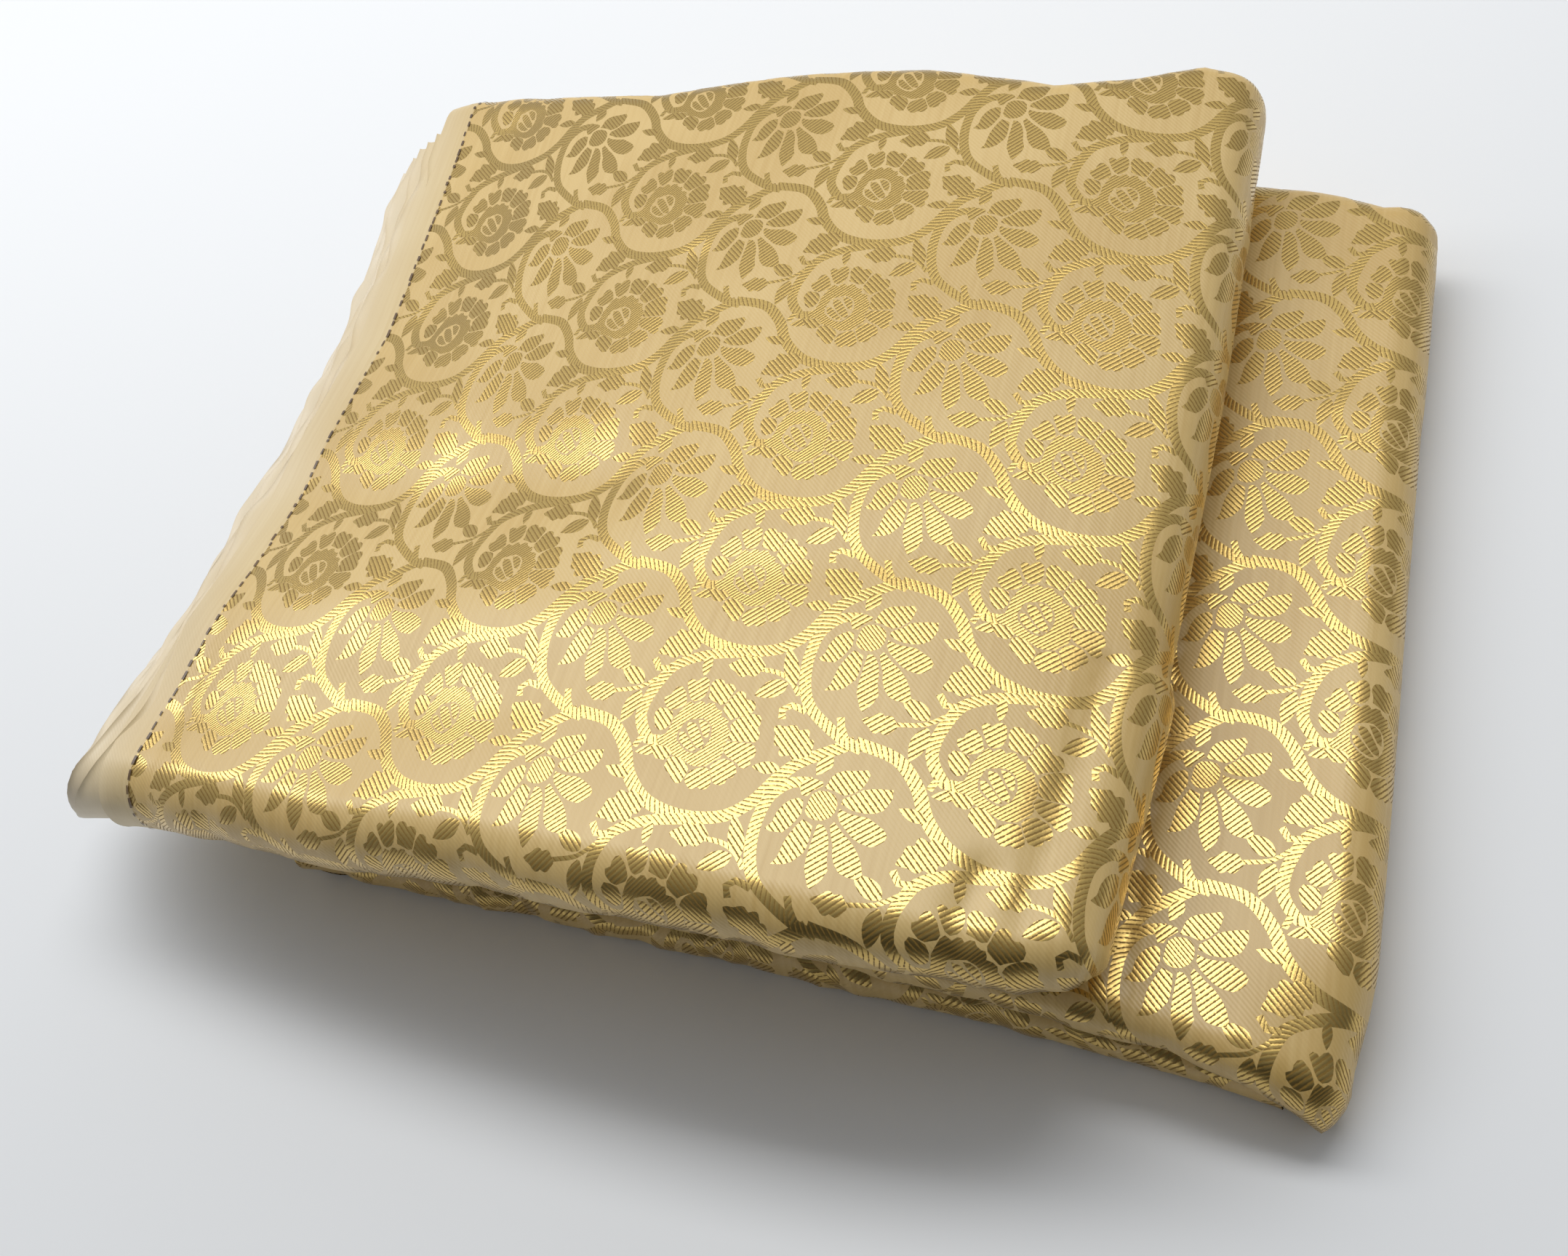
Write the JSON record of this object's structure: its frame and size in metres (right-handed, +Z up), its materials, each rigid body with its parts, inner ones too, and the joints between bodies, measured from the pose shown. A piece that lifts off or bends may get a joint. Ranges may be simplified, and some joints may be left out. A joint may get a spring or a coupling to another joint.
{
  "type": "folded brocade fabric",
  "caption": "Length of woven brocade cloth with a scrolling rose and lotus vine, folded flat into two offset tiers.",
  "frame": {"origin": "on the surface it rests on, under the middle of the folded cloth's outline", "axes": "+Z up, +X along the weft from the selvedges to the right-hand folds, +Y to the back"},
  "size_m": [0.364, 0.2986, 0.0763],
  "materials": {
    "brocade": "satin ground with metallic thread figure",
    "gold_thread": "metallic gold thread",
    "selvedge": "plain weave, sheer"
  },
  "bodies": {
    "root": {"folded_cloth": "brocade"}
  },
  "joints": []
}
